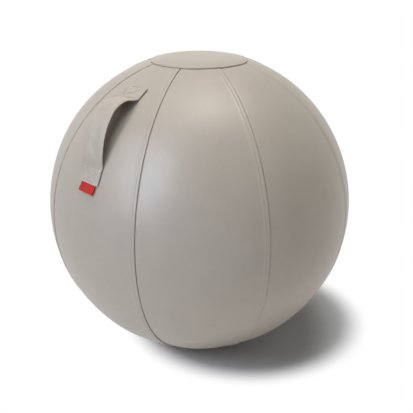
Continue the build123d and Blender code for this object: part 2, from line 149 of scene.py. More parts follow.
# Lamps: role, azimuth from the camera, elevation, distance, size, power in watts, colour
LAMPS = {
    "overhead": ("key", 0, 84, 1.9, (1.2, 0.9), 13.0, (1.0, 0.963, 0.927)),
    "overhead_right": ("key", 90, 78, 1.9, (0.9, 0.9), 8.2, (1.0, 0.974, 0.8)),
    "side_box": ("matte", -53, 38, 1.9, (0.5, 1.2), 12.3, (0.985, 0.97, 1.0)),
    "right_fill": ("fill", 100, 30, 2.0, (0.9, 0.9), 3.8, (0.83, 0.93, 1.0)),
    "front_fill": ("fill", -30, 8, 2.2, (0.9, 0.5), 9.2, (0.60, 0.78, 1.0)),
    "right_card": ("fill", 100, -13, 1.0, (0.6, 0.35), 1.6, (1.0, 0.97, 0.95)),
    "front_card": ("fill", 20, -10, 1.1, (0.8, 0.3), 1.4, (1.0, 0.97, 0.95)),
    "left_card": ("fill", -52, -14, 0.9, (0.7, 0.16), 0.4, (1.0, 0.97, 0.95)),
    "back_fill": ("fill", 180, 12, 2.2, (1.4, 0.8), 9.0, (1.0, 0.97, 0.93)),
    "left_back_fill": ("fill", -125, 12, 2.2, (0.9, 0.8), 4.0, (0.95, 0.97, 1.0)),
    "sheen_box": ("sheen", -32, 28, 0.60, (0.26, 0.36), 1.6, (0.60, 0.76, 1.0)),
}

BLEND_TURN = math.asin(FLAT_RADIUS / (BALL_RADIUS - BASE_BLEND))
SPHERE_END = BALL_RADIUS * (math.pi - BLEND_TURN)
TOP_SEAM = BALL_RADIUS * math.asin(DISC_RADIUS / BALL_RADIUS)
BASE_SEAM_TURN = math.asin((DISC_RADIUS - FLAT_RADIUS) / BASE_BLEND)
BASE_SEAM = SPHERE_END + BASE_BLEND * (BLEND_TURN - BASE_SEAM_TURN)
BASE_MIDDLE = SPHERE_END + BASE_BLEND * BLEND_TURN + FLAT_RADIUS
ZIP_TOP = BALL_RADIUS * ZIP_TOP_POLAR
ZIP_BASE = BALL_RADIUS * ZIP_BASE_POLAR
GORE_TURN = 2 * math.pi / GORE_COUNT
DEGREE = BALL_RADIUS * math.pi / 180  # metres on the ball


# ---------------------------------------------------------------- shaping helpers

def smooth(low, high, value):
    """0 below low, 1 above high, eased between."""
    t = np.clip((np.asarray(value, float) - low) / (high - low), 0, 1)
    return t * t * (3 - 2 * t)


def bump_at(middle, width, value):
    """A soft bump of height 1 about the middle."""
    return np.exp(-(((np.asarray(value, float) - middle) / width) ** 2))


def through(knots, value):
    """Smooth curve through (place, height) knots, which never passes over or under them."""
    places = np.array([knot[0] for knot in knots], float)
    heights = np.array([knot[1] for knot in knots], float)
    steps = np.diff(places)
    rises = np.diff(heights) / steps
    slopes = np.zeros(len(places))
    turns = rises[:-1] * rises[1:] > 0
    slopes[1:-1][turns] = 2 / (1 / rises[:-1][turns] + 1 / rises[1:][turns])
    value = np.clip(value, places[0], places[-1])
    index = np.clip(np.searchsorted(places, value, side="right") - 1, 0, len(steps) - 1)
    t = (value - places[index]) / steps[index]
    rise = heights[index + 1] - heights[index]
    start, end = slopes[index] * steps[index], slopes[index + 1] * steps[index]
    return heights[index] + t * start + t * t * (3 * rise - 2 * start - end) + t**3 * (
        start + end - 2 * rise
    )


def lengths_along(path):
    """Length of a path up to each of its points."""
    runs = np.linalg.norm(np.diff(path, axis=0), axis=1)
    return np.concatenate([[0], np.cumsum(runs)])


def spaced(path, step):
    """Places 0 to 1 along a dense path that come out about a step apart."""
    along = lengths_along(path)
    count = max(2, int(along[-1] / step))
    return np.interp(np.linspace(0, along[-1], count + 1), along, np.linspace(0, 1, len(path)))


def level_out(azimuth):
    """Level direction away from the axis, for each azimuth in radians."""
    azimuth = np.asarray(azimuth, float)
    return np.stack([np.sin(azimuth), -np.cos(azimuth), np.zeros_like(azimuth)], -1)


def from_centre(level, polar):
    """Directions from the ball's centre, polar radians from straight up and towards level."""
    out = level * np.sin(polar)[..., None]
    out[..., 2] = np.cos(polar)
    return out


def surface_normals(grid):
    """Outward normals of a grid of points, away from the ball's centre."""
    down, across = np.gradient(grid, axis=0), np.gradient(grid, axis=1)
    normal = np.cross(across, down)
    normal /= np.maximum(np.linalg.norm(normal, axis=-1, keepdims=True), 1e-12)
    side = np.sign(np.sum(normal * (grid - BALL_CENTRE), axis=-1).mean())
    return normal * side


# ---------------------------------------------------------------- the cover's surface

def meridian(station):
    """Distance from the axis, height, and outward normal (level, upright) at each station."""
    station = np.asarray(station, float)
    polar = np.minimum(station, SPHERE_END) / BALL_RADIUS
    turn = np.clip(BLEND_TURN - (station - SPHERE_END) / BASE_BLEND, 0, BLEND_TURN)
    flat = np.maximum(station - SPHERE_END - BASE_BLEND * BLEND_TURN, 0)
    on_sphere = station <= SPHERE_END
    radius = np.where(
        on_sphere,
        BALL_RADIUS * np.sin(polar),
        FLAT_RADIUS + BASE_BLEND * np.sin(turn) - flat,
    )
    height = np.where(
        on_sphere,
        CENTRE_HEIGHT + BALL_RADIUS * np.cos(polar),
        BASE_BLEND - BASE_BLEND * np.cos(turn),
    )
    level = np.where(on_sphere, np.sin(polar), np.sin(turn))
    upright = np.where(on_sphere, np.cos(polar), -np.cos(turn))
    return radius, height, level, upright


def cover_point(azimuth, station, lift):
    """Point of the cover, and its normal. azimuth is in radians; the three broadcast together."""
    azimuth, station, lift = np.broadcast_arrays(azimuth, station, lift)
    radius, height, level, upright = meridian(station)
    out = level_out(azimuth)
    normal = out * level[..., None]
    normal[..., 2] = upright
    point = out * radius[..., None]
    point[..., 2] = height
    return point + normal * lift[..., None], normal


def fold_height(distance):
    """Section of a seam's folded side, from its rolled edge inwards, with the stitched dent."""
    return through(
        (
            (0.0, -0.0014), (0.0002, -0.0008), (0.0005, 0.0002), (0.0010, 0.0009),
            (0.0020, 0.0013), (0.0036, 0.0012), (0.0052, 0.0008), (0.0062, 0.0005),
            (0.0072, 0.0008), (0.0090, 0.0008), (0.0118, 0.0002), (0.0180, 0.0),
        ),
        distance,
    )


def fold_overhang(distance):
    """How far the folded side's rolled edge reaches over the seam line."""
    return through(
        ((0.0, 0.0), (0.0004, 0.0010), (0.0010, 0.0012), (0.0025, 0.0006), (0.0060, 0.0)),
        distance,
    )


def under_height(distance):
    """Section of a seam's other side, which runs in under the fold."""
    return through(
        (
            (0.0, -0.0022), (0.0007, -0.0016), (0.0013, -0.0009), (0.0020, -0.0003),
            (0.0032, 0.0), (0.0100, 0.0001), (0.0160, 0.0),
        ),
        distance,
    )


def fold_pride(station):
    """How much further a fold stands up where the gores narrow to the base."""
    return smooth(112, 150, np.degrees(station / BALL_RADIUS))


def seam_pull(station, distance):
    """How far a seam draws the cover in, most where the gores narrow to the base."""
    polar = np.degrees(station / BALL_RADIUS)
    depth = 0.0004 + 0.0038 * smooth(106, 148, polar) + 0.0006 * smooth(45, 20, polar)
    return -depth * np.exp(-np.maximum(distance, 0) / 0.026)


def waver(seed, station, distance):
    """Small unevenness that sewing leaves along a seam."""
    rng = np.random.default_rng(seed)
    total = np.zeros(np.broadcast(station, distance).shape)
    for length in (0.011, 0.017, 0.029, 0.053):
        phase, share = rng.uniform(0, 2 * math.pi), rng.uniform(0.5, 1.0)
        total = total + share * np.sin(2 * math.pi * station / length + phase)
    return 0.00006 * total * np.exp(-np.maximum(distance, 0) / 0.012)


# ---------------------------------------------------------------- mesh helpers

def mesh_object(name, points, faces, material, uvs=None, shade=True):
    """A new object from points and faces, with one uv for each point."""
    mesh = bpy.data.meshes.new(name)
    mesh.from_pydata([tuple(p) for p in points], [], [tuple(f) for f in faces])
    mesh.validate()
    mesh.update()
    if uvs is not None:
        layer = mesh.uv_layers.new(name="UVMap")
        order = np.empty(len(mesh.loops), np.int32)
        mesh.loops.foreach_get("vertex_index", order)
        layer.data.foreach_set("uv", np.asarray(uvs, np.float32)[order].ravel())
    if shade:
        mesh.polygons.foreach_set("use_smooth", np.ones(len(mesh.polygons), bool))
    mesh.materials.append(material)
    obj = bpy.data.objects.new(name, mesh)
    scene.collection.objects.link(obj)
    return obj


def grid_faces(rows, columns, wrap_columns=False, start=0, flip=False):
    """Quads between the points of a grid that is listed row by row."""
    last_column = columns if wrap_columns else columns - 1
    faces = []
    for i in range(rows - 1):
        for j in range(last_column):
            a, b = i * columns + j, i * columns + (j + 1) % columns
            quad = (start + a, start + a + columns, start + b + columns, start + b)
            faces.append(quad[::-1] if flip else quad)
    return faces


def slab(name, outer, inner, material, uvs, wrap_columns=False):
    """A closed sheet between two grids of points, with a rim along its open edges."""
    rows, columns = outer.shape[:2]
    count = rows * columns
    faces = grid_faces(rows, columns, wrap_columns)
    faces += grid_faces(rows, columns, wrap_columns, start=count, flip=True)
    first_row, first_column = range(columns), range(0, count, columns)
    edges = [list(first_row), [count - columns + j for j in first_row]]
    if wrap_columns:
        edges = [edge + edge[:1] for edge in edges]
    else:
        edges += [list(first_column), [i + columns - 1 for i in first_column]]
    for edge, turned in zip(edges, (False, True, True, False)):
        for a, b in zip(edge[:-1], edge[1:]):
            quad = (a, b, b + count, a + count)
            faces.append(quad[::-1] if turned else quad)
    points = np.concatenate([outer.reshape(-1, 3), inner.reshape(-1, 3)])
    both = np.concatenate([uvs.reshape(-1, 2), uvs.reshape(-1, 2)])
    return mesh_object(name, points, faces, material, both)


def stitches(
    name, lines, material, pitch=STITCH_PITCH, length=STITCH_LENGTH, radius=THREAD_RADIUS
):
    """Thread along lines of (points, normals): one short arched stitch after another."""
    sides, rings = 6, 5
    turn = np.arange(sides) * 2 * math.pi / sides
    arch = radius * np.array([-0.9, 0.5, 0.8, 0.5, -0.9])
    girth = radius * np.array([0.45, 1.0, 1.05, 1.0, 0.45])
    points, faces = [], []
    for path, normals in lines:
        path, normals = np.asarray(path, float), np.asarray(normals, float)
        along = lengths_along(path)
        count = max(1, int(along[-1] / pitch))
        step = along[-1] / count
        for index in range(count):
            places = (index + 0.5) * step + np.linspace(-0.5, 0.5, rings) * length
            centre = np.stack([np.interp(places, along, path[:, k]) for k in range(3)], -1)
            up = np.stack([np.interp(places, along, normals[:, k]) for k in range(3)], -1)
            up /= np.linalg.norm(up, axis=1)[:, None]
            ahead = centre[-1] - centre[0]
            side = np.cross(ahead / np.linalg.norm(ahead), up)
            start = len(points)
            for ring in range(rings):
                middle = centre[ring] + up[ring] * arch[ring]
                for angle in turn:
                    offset = side[ring] * math.cos(angle) + up[ring] * math.sin(angle)
                    points.append(middle + offset * girth[ring])
            faces += grid_faces(rings, sides, wrap_columns=True, start=start)
            faces.append(tuple(start + k for k in range(sides)))
            last = start + (rings - 1) * sides
            faces.append(tuple(last + k for k in reversed(range(sides))))
    thread = mesh_object(name, points, faces, material)
    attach(thread, "ball")
    return thread


# ---------------------------------------------------------------- materials

def new_material(name, colour, roughness):
    """A principled material, with its node tree and shader."""
    material = bpy.data.materials.new(name)
    material.use_nodes = True
    tree = material.node_tree
    shader = tree.nodes["Principled BSDF"]
    shader.inputs["Base Color"].default_value = (*colour, 1)
    shader.inputs["Roughness"].default_value = roughness
    return material, tree, shader


def add_node(tree, kind, **settings):
    """Adds a node; a setting with a capital is an input, and any other an attribute."""
    node = tree.nodes.new(kind)
    for key, value in settings.items():
        if key[0].islower():
            setattr(node, key, value)
        else:
            node.inputs[key.replace("_", " ")].default_value = value
    return node


def coordinates(tree, source="Object", scale=(1, 1, 1)):
    """Texture coordinates of one kind, scaled."""
    place = add_node(tree, "ShaderNodeTexCoord")
    mapping = add_node(tree, "ShaderNodeMapping", Scale=scale)
    tree.links.new(place.outputs[source], mapping.inputs["Vector"])
    return mapping.outputs["Vector"]


def noise(tree, vector, scale, detail=3.0, roughness=0.55):
    """Noise at a scale in cycles a metre."""
    node = add_node(tree, "ShaderNodeTexNoise", Scale=scale, Detail=detail, Roughness=roughness)
    tree.links.new(vector, node.inputs["Vector"])
    return node.outputs["Fac"]


def waves(tree, vector, scale, direction, distortion=0.0):
    """Ridges across one direction, at a scale in cycles a metre."""
    node = add_node(
        tree, "ShaderNodeTexWave", bands_direction=direction, wave_profile="SIN",
        Scale=scale * 2 * math.pi / 20, Distortion=distortion, Detail=1.0,
    )
    tree.links.new(vector, node.inputs["Vector"])
    return node.outputs["Fac"]


def combine(tree, operation, first, second):
    """One maths step between two values, either of which may be a number."""
    node = add_node(tree, "ShaderNodeMath", operation=operation)
    for index, value in enumerate((first, second)):
        if isinstance(value, (int, float)):
            node.inputs[index].default_value = value
        else:
            tree.links.new(value, node.inputs[index])
    return node.outputs["Value"]


def blended(tree, *shares):
    """Sum of (value, share) pairs."""
    total = None
    for value, share in shares:
        part = combine(tree, "MULTIPLY", value, share)
        total = part if total is None else combine(tree, "ADD", total, part)
    return total


def tinted(tree, shader, value, dark, light, low=0.3, high=0.7):
    """Base colour that runs from dark to light with a value."""
    ramp = add_node(tree, "ShaderNodeValToRGB")
    ramp.color_ramp.elements[0].position = low
    ramp.color_ramp.elements[0].color = (*dark, 1)
    ramp.color_ramp.elements[1].position = high
    ramp.color_ramp.elements[1].color = (*light, 1)
    tree.links.new(value, ramp.inputs["Fac"])
    tree.links.new(ramp.outputs["Color"], shader.inputs["Base Color"])


def roughened(tree, shader, value, low, high):
    """Roughness that runs from low to high with a value."""
    span = add_node(tree, "ShaderNodeMapRange")
    span.inputs["To Min"].default_value = low
    span.inputs["To Max"].default_value = high
    tree.links.new(value, span.inputs["Value"])
    tree.links.new(span.outputs["Result"], shader.inputs["Roughness"])


def bumped(tree, shader, height, depth, strength=1.0):
    """Bump from a height of 0 to 1, depth metres deep."""
    bump = add_node(tree, "ShaderNodeBump", Strength=strength, Distance=depth)
    tree.links.new(height, bump.inputs["Height"])
    tree.links.new(bump.outputs["Normal"], shader.inputs["Normal"])


def scaled(colour, factor):
    """A colour made lighter or darker."""
    return tuple(min(1.0, c * factor) for c in colour)


COVER_COLOUR = (0.46, 0.41, 0.355)
LINING_COLOUR = (0.24, 0.165, 0.105)
LABEL_COLOUR = (0.60, 0.03, 0.02)


def cover_material(name, colour=COVER_COLOUR, roughness=0.42):
    """Taupe leather-look upholstery: a fine pebbled grain with a faint cloudy shading."""
    material, tree, shader = new_material(name, colour, roughness)
    place = coordinates(tree)
    cloud = noise(tree, place, 22.0, 3.0, 0.55)
    fleck = noise(tree, place, 520.0, 3.0, 0.75)
    grain = noise(tree, place, 1500.0, 3.0, 0.6)
    mixed = blended(tree, (cloud, 0.35), (fleck, 0.65))
    tinted(tree, shader, mixed, scaled(colour, 0.94), scaled(colour, 1.06), 0.36, 0.64)
    roughened(tree, shader, fleck, roughness - 0.06, roughness + 0.06)
    pebble = add_node(tree, "ShaderNodeTexVoronoi", feature="F1", Scale=1100.0)
    tree.links.new(place, pebble.inputs["Vector"])
    height = blended(tree, (pebble.outputs["Distance"], 0.6), (grain, 0.5))
    bumped(tree, shader, height, 0.00012, 0.5)
    shader.inputs["Specular IOR Level"].default_value = 0.5
    shader.inputs["Sheen Weight"].default_value = 0.12
    shader.inputs["Sheen Roughness"].default_value = 0.4
    shader.inputs["Sheen Tint"].default_value = (1.0, 0.97, 0.93, 1)
    return material


def woven_material(name, colour, threads_across, threads_along, depth, roughness=0.8, sheen=0.2):
    """Plain weave on a sheet whose uv is in metres, with threads a metre each way."""
    material, tree, shader = new_material(name, colour, roughness)
    place = coordinates(tree, "UV")
    warp = waves(tree, place, threads_across, "X", 0.3)
    weft = waves(tree, place, threads_along, "Y", 0.3)
    fuzz = noise(tree, coordinates(tree), 1400.0, 3.0, 0.7)
    cross = blended(tree, (combine(tree, "MULTIPLY", warp, weft), 0.8), (fuzz, 0.4))
    tinted(tree, shader, cross, scaled(colour, 0.72), scaled(colour, 1.22), 0.15, 0.85)
    bumped(tree, shader, cross, depth, 0.8)
    shader.inputs["Specular IOR Level"].default_value = 0.25
    shader.inputs["Sheen Weight"].default_value = sheen
    shader.inputs["Sheen Roughness"].default_value = 0.5
    return material


def grained_material(name, colour, roughness, scale, metallic=0.0, depth=0.00005, spread=0.08):
    """Moulded plastic, rubber or cast metal with a fine grain and a little colour variation."""
    material, tree, shader = new_material(name, colour, roughness)
    place = coordinates(tree)
    grain = noise(tree, place, scale, 4.0, 0.65)
    patch = noise(tree, place, scale / 18, 3.0, 0.5)
    mixed = blended(tree, (grain, 0.5), (patch, 0.5))
    tinted(tree, shader, mixed, scaled(colour, 1 - spread), scaled(colour, 1 + spread))
    roughened(tree, shader, patch, max(0.05, roughness - 0.1), min(1.0, roughness + 0.1))
    bumped(tree, shader, grain, depth, 0.4)
    shader.inputs["Metallic"].default_value = metallic
    return material


def thread_material(name, colour):
    """Twisted sewing thread."""
    material, tree, shader = new_material(name, colour, 0.6)
    twist = noise(tree, coordinates(tree), 2500.0)
    tinted(tree, shader, twist, scaled(colour, 0.8), scaled(colour, 1.1))
    bumped(tree, shader, twist, 0.0001, 0.6)
    shader.inputs["Sheen Weight"].default_value = 0.2
    return material


COVER = cover_material("cover_fabric")
HANDLE = cover_material("handle_fabric", scaled(COVER_COLOUR, 1.06), 0.5)
LINING = woven_material("handle_lining_weave", LINING_COLOUR, 1300, 1300, 0.0001)
BACKING = woven_material("backing_weave", (0.42, 0.40, 0.37), 900, 900, 0.00015)
LABEL = woven_material("label_weave", LABEL_COLOUR, 2600, 1700, 0.00006, 0.75, 0.05)
TAPE = woven_material("zip_tape_weave", (0.30, 0.27, 0.235), 1500, 1100, 0.00012)
# Seam thread: lighter than the cover partly as its own paler colour and partly as a painted
# highlight, standing in for the light that the stitched ridges beside the seams catch
THREAD = thread_material("thread", scaled(COVER_COLOUR, 1.42))
HANDLE_THREAD = thread_material("handle_thread", (0.74, 0.70, 0.65))
TEETH = grained_material("zip_teeth_plastic", (0.235, 0.21, 0.185), 0.38, 900)
METAL = grained_material("zip_metal", (0.42, 0.40, 0.38), 0.32, 1600, 1.0, 0.00002)
RUBBER = grained_material("inner_ball_rubber", (0.33, 0.34, 0.36), 0.45, 700)
VALVE = grained_material("valve_plastic", (0.82, 0.82, 0.80), 0.4, 900, spread=0.04)
IRON = grained_material("weight_iron", (0.22, 0.22, 0.23), 0.6, 500, 0.6, 0.0002, 0.2)


def dress(material, *nodes):
    """Gives carried-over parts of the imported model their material."""
    for node in nodes:
        mesh = frame["nodes"][node].data
        mesh.materials.clear()
        mesh.materials.append(material)


# ---------------------------------------------------------------- gore panels

LEFT_OFFSETS = np.array([0, 0.4, 0.9, 1.6, 2.6, 4.2, 7, 11, 16]) / 1000
RIGHT_OFFSETS = np.array(
    [18, 14, 11.5, 9.6, 8.5, 7.6, 7.0, 6.6, 6.2, 5.8, 5.0, 4.0, 3.0, 2.2, 1.5, 0.9, 0.4, 0.15, 0]
) / 1000
FOLD_OFFSETS = RIGHT_OFFSETS[::-1]
GORE_ROWS = 320
MIDDLE_COLUMNS = 22
ZIP_EASE = 0.007


def zip_share(station):
    """1 beside the zip, 0 beyond its ends."""
    return smooth(ZIP_TOP - ZIP_EASE, ZIP_TOP + ZIP_EASE, station) * smooth(
        ZIP_BASE + ZIP_EASE, ZIP_BASE - ZIP_EASE, station
    )


def gore_edges(number, station):
    """Distances from the left seam line to where this gore's cloth starts and ends."""
    left_azimuth = (number - 0.5) * GORE_TURN
    on_left = abs(left_azimuth - ZIP_AZIMUTH) < 0.01
    on_right = abs(left_azimuth + GORE_TURN - ZIP_AZIMUTH) < 0.01
    width = meridian(station)[0] * GORE_TURN
    slot = ZIP_HALF_SLOT * zip_share(station)
    return slot * on_left, width - slot * on_right, width, zip_share(station) * on_left


def zip_beside(number, station):
    """1 where the zip runs along this gore's right edge."""
    right_azimuth = (number + 0.5) * GORE_TURN
    return zip_share(station) * (abs(right_azimuth - ZIP_AZIMUTH) < 0.01)


def gore_swell(number, station, share):
    """Slow, shallow unevenness of a stretched panel."""
    rng = np.random.default_rng(SWELL_SEED + number)
    total = 0
    for _ in range(4):
        down, phase, across = rng.uniform(0.18, 0.5), rng.uniform(0, 6.28), rng.uniform(0.6, 1.6)
        total = total + np.sin(2 * math.pi * station / down + phase + across * share * 3)
    return 0.00028 * total * np.sin(math.pi * np.clip(share, 0, 1))


def gore_lift(number, station, across):
    """Height of a gore over the plain surface, across metres from its left seam line."""
    left, right, width, folded_left = gore_edges(number, station)
    from_left, from_right = across - left, right - across
    lift = fold_height(from_right) * (1 + 1.7 * fold_pride(station))
    lift = lift + seam_pull(station, from_right)
    lift = lift + (1 - folded_left) * under_height(from_left)
    lift = lift + folded_left * fold_height(from_left)
    lift = lift + seam_pull(station, from_left)
    lift = lift + waver(RIGHT_SEED + number, station, from_right)
    lift = lift + waver(LEFT_SEED + number, station, from_left)
    lift = lift + gore_swell(number, station, across / width)
    tuck = smooth(TOP_SEAM + 0.0034, TOP_SEAM - 0.0006, station)
    tuck = tuck + smooth(BASE_SEAM - 0.0034, BASE_SEAM + 0.0006, station)
    return np.maximum(lift * (1 - 0.4 * tuck) - 0.0021 * tuck, -DEEPEST_PULL)


def gore_point(number, station, across, raise_by=0.0):
    """Point and normal on a gore."""
    left, right, _, folded_left = gore_edges(number, station)
    lift = gore_lift(number, station, across) + raise_by
    across = across + fold_overhang(right - across) * (1 - 0.5 * zip_beside(number, station))
    across = across - 0.5 * folded_left * fold_overhang(across - left)
    azimuth = (number - 0.5) * GORE_TURN + across / meridian(station)[0]
    return cover_point(azimuth, station, lift)


def gore(number):
    """One gore: a grid with rows down the ball and columns that keep to the seams."""
    station = np.linspace(TOP_SEAM - 0.003, BASE_SEAM + 0.003, GORE_ROWS)[:, None]
    left, right, _, folded_left = gore_edges(number, station)
    left_offsets = FOLD_OFFSETS if folded_left.any() else LEFT_OFFSETS
    share = np.linspace(0, 1, MIDDLE_COLUMNS + 2)[1:-1]
    first, last = left + left_offsets[-1], right - RIGHT_OFFSETS[0]
    across = np.concatenate(
        [left + left_offsets, first + (last - first) * share, right - RIGHT_OFFSETS], 1
    )
    outer, normal = gore_point(number, station, across)
    uvs = np.stack([across, np.broadcast_to(station, across.shape)], -1)
    panel = slab(f"cover_gore_{number + 1}", outer, outer - normal * COVER_THICKNESS, COVER, uvs)
    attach(panel, "ball")
    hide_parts(f"gore_panel_{number + 1}")


def seam_stitching(number):
    """Topstitching along the fold at a gore's right edge, and at its left edge by the zip."""
    station = np.linspace(TOP_SEAM + 0.002, BASE_SEAM - 0.002, 500)
    right = gore_edges(number, station)[1]
    lines = [gore_point(number, station, right - FOLD_STITCH, 0.0001)]
    left, _, _, folded_left = gore_edges(number, station)
    if folded_left.any():
        beside = (station > ZIP_TOP + ZIP_EASE) & (station < ZIP_BASE - ZIP_EASE)
        lines.append(gore_point(number, station[beside], (left + FOLD_STITCH)[beside], 0.0001))
    stitches(f"seam_stitching_{number + 1}", lines, THREAD)


for number in range(GORE_COUNT):
    gore(number)
    seam_stitching(number)


# ---------------------------------------------------------------- top and base discs

DISC_COLUMNS = 384
RIM_HEIGHT = CENTRE_HEIGHT + math.sqrt(BALL_RADIUS**2 - DISC_RADIUS**2)
CROWN = TOP_HEIGHT - RIM_HEIGHT
CROWN_RADIUS = (DISC_RADIUS**2 + CROWN**2) / (2 * CROWN)


def over_seams(azimuth, radius):
    """1 where a gore seam's fold runs under a disc's rim, fading to 0 beside it."""
    fold_middle = 0.0036 / radius
    turn = np.mod(azimuth + fold_middle + GORE_TURN / 2, GORE_TURN)
    beside = np.minimum(turn, GORE_TURN - turn) * radius
    return bump_at(0, 0.0045, beside)


def seam_ridge(azimuth, inset, height):
    """How far the folds of the gore seams lift a disc's rim."""
    return height * over_seams(azimuth, DISC_RADIUS) * np.exp(-inset / 0.008)


def disc_wave(azimuth, seed, size):
    """Slow waver round a disc's rim."""
    rng = np.random.default_rng(seed)
    total = np.zeros(np.shape(azimuth))
    for turns in (2, 3, 5, 8, 13, 21):
        total = total + rng.uniform(0.4, 1) * np.sin(turns * azimuth + rng.uniform(0, 2 * math.pi))
    return size * total / 3


def top_disc_point(azimuth, inset, raise_by=0.0):
    """Point and normal of the crowned top disc, inset metres from its rim."""
    rim = DISC_RADIUS + disc_wave(azimuth, RIM_SEED, 0.0004)
    radius = np.maximum(rim - inset, 0.0)
    lift = fold_height(inset) + seam_ridge(azimuth, inset, 0.0007)
    lift = lift + disc_wave(azimuth, CROWN_SEED, 0.00022) * np.exp(-inset / 0.02)
    lift = lift + 0.0013 * smooth(0, 0.022, inset) - 0.0042 * smooth(0.012, 0.085, inset)
    radius = radius + 0.7 * fold_overhang(inset)
    turn = np.arcsin(np.clip(radius / CROWN_RADIUS, -1, 1))
    normal = level_out(azimuth) * np.sin(turn)[..., None]
    normal[..., 2] = np.cos(turn)
    point = level_out(azimuth) * radius[..., None]
    point[..., 2] = TOP_HEIGHT - CROWN_RADIUS * (1 - np.cos(turn))
    return point + normal * (lift + raise_by)[..., None], normal


def base_disc_point(azimuth, inset, raise_by=0.0):
    """Point and normal of the base disc, inset metres from its rim and never under the floor."""
    station = np.minimum(BASE_SEAM + inset, BASE_MIDDLE - 1e-5)
    lift = 0.7 * fold_height(inset) + seam_ridge(azimuth, inset, 0.0006)
    lift = lift * smooth(0.034, 0.016, inset)
    point, normal = cover_point(azimuth, station, lift + raise_by)
    point[..., 2] = np.maximum(point[..., 2], 0.0)
    return point, normal


def disc(name, node, place, reach, thickness):
    """A round panel: rings from its folded rim to its middle."""
    inner_rings = np.linspace(FOLD_OFFSETS[-1], reach, 44)[1:]
    inset = np.concatenate([FOLD_OFFSETS, inner_rings])[:, None]
    azimuth = np.linspace(0, 2 * math.pi, DISC_COLUMNS, endpoint=False)[None, :]
    azimuth, inset = np.broadcast_arrays(azimuth, inset)
    outer, normal = place(azimuth, inset)
    flat = level_out(azimuth)[..., :2] * (reach - inset)[..., None]
    panel = slab(name, outer, outer - normal * thickness, COVER, flat, wrap_columns=True)
    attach(panel, "ball")
    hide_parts(node)


def disc_stitching(name, place):
    """Topstitching round a disc, inside its fold."""
    azimuth = np.linspace(0, 2 * math.pi, 721)
    line = place(azimuth, np.full(azimuth.shape, FOLD_STITCH), 0.0001)
    stitches(name, [line], THREAD)


DISC_REACH = DISC_RADIUS - 0.0003
disc("cover_top_disc", "top_panel", top_disc_point, DISC_REACH, COVER_THICKNESS)
disc_stitching("top_disc_stitching", top_disc_point)
BASE_REACH = BASE_MIDDLE - BASE_SEAM - 0.0003
disc("cover_base_disc", "base_panel", base_disc_point, BASE_REACH, BASE_THICKNESS)
disc_stitching("base_disc_stitching", base_disc_point)


# ---------------------------------------------------------------- carrying handle

STRAP_ROW = 0.0011
HANDLE_OUT = level_out(HANDLE_AZIMUTH)
HANDLE_SIDE = level_out(HANDLE_AZIMUTH + math.pi / 2)
EDGE_ROUND = 0.0009
UV_COLUMN = 10  # the column whose length the weave follows


def strap_folds(polar, side):
    """Soft lengthwise ridges of the limp strap. side runs from -1, left, to 1, right."""
    arch = smooth(38.5, 44.0, polar) * smooth(62.5, 57.0, polar)
    ridges = 1.3 * bump_at(-0.45, 0.28, side) - 1.0 * bump_at(0.2, 0.24, side)
    ridges = ridges + 1.2 * bump_at(0.62, 0.22, side) - 0.5 * bump_at(1.0, 0.16, side)
    ridges = ridges - 0.5 * bump_at(-1.0, 0.14, side)
    shift = 0.12 * np.sin((polar - 40) * 0.35)
    ridges = ridges + 0.25 * np.sin((side + shift) * 9.0)
    # A diagonal fold runs down from the left edge to the lower sewn end.
    slant = 0.1 + (polar - 58.0) * 0.16
    ending = smooth(63.4, 62.0, polar)
    fold = -0.9 * bump_at(slant, 0.3, side) * smooth(53.0, 57.0, polar) * ending
    hollow = 0.7 * bump_at(slant - 0.6, 0.3, side) * smooth(55.0, 58.0, polar) * ending
    return 0.001 * (arch * ridges + fold + hollow)


def box_lines(sewn):
    """The sewn box with its cross, as (polar, side in metres) ends of each line."""
    start, end = sewn[0] + 0.38, sewn[1] + 0.2
    if sewn is SEWN_BASE:
        start, end = sewn[0] + 0.15, sewn[1] - 0.42
    half = STRAP_HALF_WIDTH - BOX_INSET
    a, b, c, d = (start, -half), (start, half), (end, half), (end, -half)
    return [(a, b), (b, c), (c, d), (d, a), (a, c), (b, d)]


def stitched_dent(polar, side):
    """How far the cloth is drawn down near the sewn boxes, in metres."""
    nearest = np.full(np.broadcast(polar, side).shape, 1.0)
    scale = DEGREE
    for sewn in (SEWN_TOP, SEWN_BASE):
        for (polar_a, side_a), (polar_b, side_b) in box_lines(sewn):
            run = np.array([(polar_b - polar_a) * scale, side_b - side_a])
            away = np.stack(np.broadcast_arrays((polar - polar_a) * scale, side - side_a), -1)
            share = np.clip((away @ run) / (run @ run), 0, 1)
            nearest = np.minimum(nearest, np.linalg.norm(away - share[..., None] * run, axis=-1))
    return 0.0003 * np.exp(-((nearest / 0.0020) ** 2))


def strap_point(polar, side, depth=0.0):
    """Point of the handle's outer face, depth metres under it. side is in metres."""
    polar, side, depth = np.broadcast_arrays(polar, side, depth)
    share = np.clip(side / STRAP_HALF_WIDTH, -1, 1)
    right, left = through(RIGHT_EDGE, polar), through(LEFT_EDGE, polar)
    height = (right + left) / 2 + (right - left) / 2 * share
    sewn = smooth(36.9, 36.2, polar) + smooth(63.1, 63.6, polar)
    height = height + strap_folds(polar, share) * (1 - sewn)
    height = height + sewn * 0.0006 - stitched_dent(polar, side)
    sag = END_DROP + END_SKEW * share * smooth(62, 69, polar)
    angle = np.radians(polar + smooth(56, 63, polar) * sag)
    out = from_centre(HANDLE_OUT, angle)
    base = np.sqrt(BALL_RADIUS**2 - side**2)
    return BALL_CENTRE + out * (base + height - depth)[..., None] + HANDLE_SIDE * side[..., None]


def strap_rows(start, end, step):
    """Polar angles down the handle, evenly spaced along its path."""
    dense = np.linspace(start, end, 900)
    return start + (end - start) * spaced(strap_point(dense, 0.0), step)


